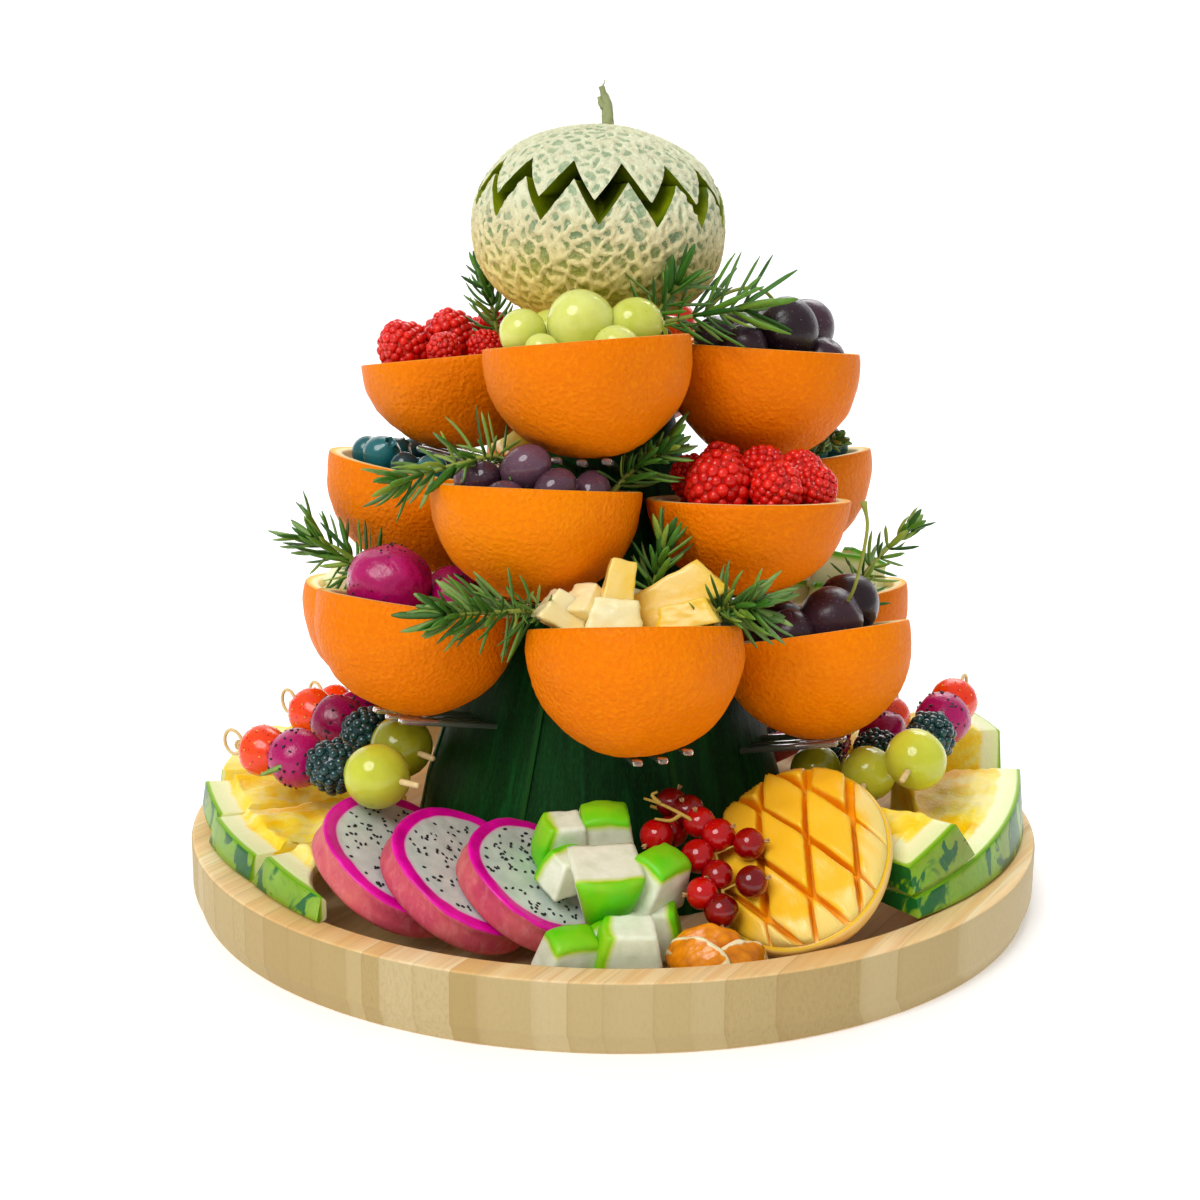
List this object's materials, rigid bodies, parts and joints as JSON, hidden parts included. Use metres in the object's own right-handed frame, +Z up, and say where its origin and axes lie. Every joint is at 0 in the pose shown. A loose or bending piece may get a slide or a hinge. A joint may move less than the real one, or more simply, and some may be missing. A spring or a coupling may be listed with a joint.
{
  "type": "fruit tower centrepiece",
  "caption": "Round bamboo tray with cut fruit round a leaf-wrapped cone that holds tiers of orange-peel cups filled with fruit, with a zigzag-cut netted melon on top",
  "frame": {"origin": "centre of the tray's underside, which is the bottom centre of the bounding box", "axes": "+Z up; -Y is the front that the picture shows; +X to the viewer's right"},
  "size_m": [0.36, 0.36, 0.3336],
  "materials": {
    "bamboo": "light laminated bamboo, satin",
    "leaf_wrap": "dark glossy green leaf over a cone, with clear prongs",
    "orange_peel": "waxy dimpled orange peel, pale pith at the rim",
    "green_grape": "smooth translucent yellow-green skin",
    "dark_cherry": "deep red to black glossy skin",
    "strawberry": "glossy red with pale seeds",
    "raspberry": "soft red drupelets",
    "dark_grape": "dark red skin with a dusty bloom",
    "blueberry": "dark blue with a pale bloom",
    "pineapple": "wet pale yellow flesh",
    "green_apple": "pale flesh with a green skin",
    "dragon_ball": "wet magenta flesh with tiny seeds",
    "melon_rind": "grey-green rind with a raised cream net",
    "melon_wedge": "yellow flesh, white band and striped green rind",
    "dragon_slice": "white seeded flesh in a magenta skin",
    "fruit_pick": "grape, dark berry, red ball and strawberry on a bamboo pick",
    "mango": "scored orange-yellow flesh in a smooth skin",
    "guava": "pale crisp flesh with a green skin",
    "orange_flesh": "juicy orange segments",
    "red_currant": "small glossy translucent red berries"
  },
  "bodies": {
    "root": {"tray": "bamboo", "stand": "leaf_wrap", "cup_t0": "orange_peel", "cup_t1": "orange_peel", "cup_t2": "orange_peel", "cup_t3": "orange_peel", "cup_m0": "orange_peel", "cup_m1": "orange_peel", "cup_m2": "orange_peel", "cup_m3": "orange_peel", "cup_m4": "orange_peel", "cup_l0": "orange_peel", "cup_l1": "orange_peel", "cup_l2": "orange_peel", "cup_l3": "orange_peel", "cup_l4": "orange_peel", "cup_l5": "orange_peel", "filling_t0": "green_grape", "filling_t1": "dark_cherry", "filling_t2": "strawberry", "filling_t3": "raspberry", "filling_m0": "dark_grape", "filling_m1": "raspberry", "filling_m2": "blueberry", "filling_m3": "green_grape", "filling_m4": "blueberry", "filling_l0": "pineapple", "filling_l1": "dark_cherry", "filling_l2": "green_apple", "filling_l3": "strawberry", "filling_l4": "green_apple", "filling_l5": "dragon_ball", "melon_base": "melon_rind", "melon_lid": "melon_rind", "wedge_left_front": "melon_wedge", "wedge_left_mid": "melon_wedge", "wedge_left_back": "melon_wedge", "wedge_right_low": "melon_wedge", "wedge_right_top": "melon_wedge", "wedge_right_back": "melon_wedge", "wedge_far_right": "melon_wedge", "wedge_far_left": "melon_wedge", "dragon_slice_1": "dragon_slice", "dragon_slice_2": "dragon_slice", "dragon_slice_3": "dragon_slice", "dragon_slice_4": "dragon_slice", "dragon_slice_5": "dragon_slice", "dragon_slice_6": "dragon_slice", "pick_left_1": "fruit_pick", "pick_left_2": "fruit_pick", "pick_left_3": "fruit_pick", "pick_right_1": "fruit_pick", "pick_right_2": "fruit_pick", "pick_right_3": "fruit_pick", "mango_front": "mango", "mango_back": "mango", "guava_front": "guava", "guava_back": "guava", "orange_segments": "orange_flesh", "red_currants": "red_currant"}
  },
  "joints": []
}
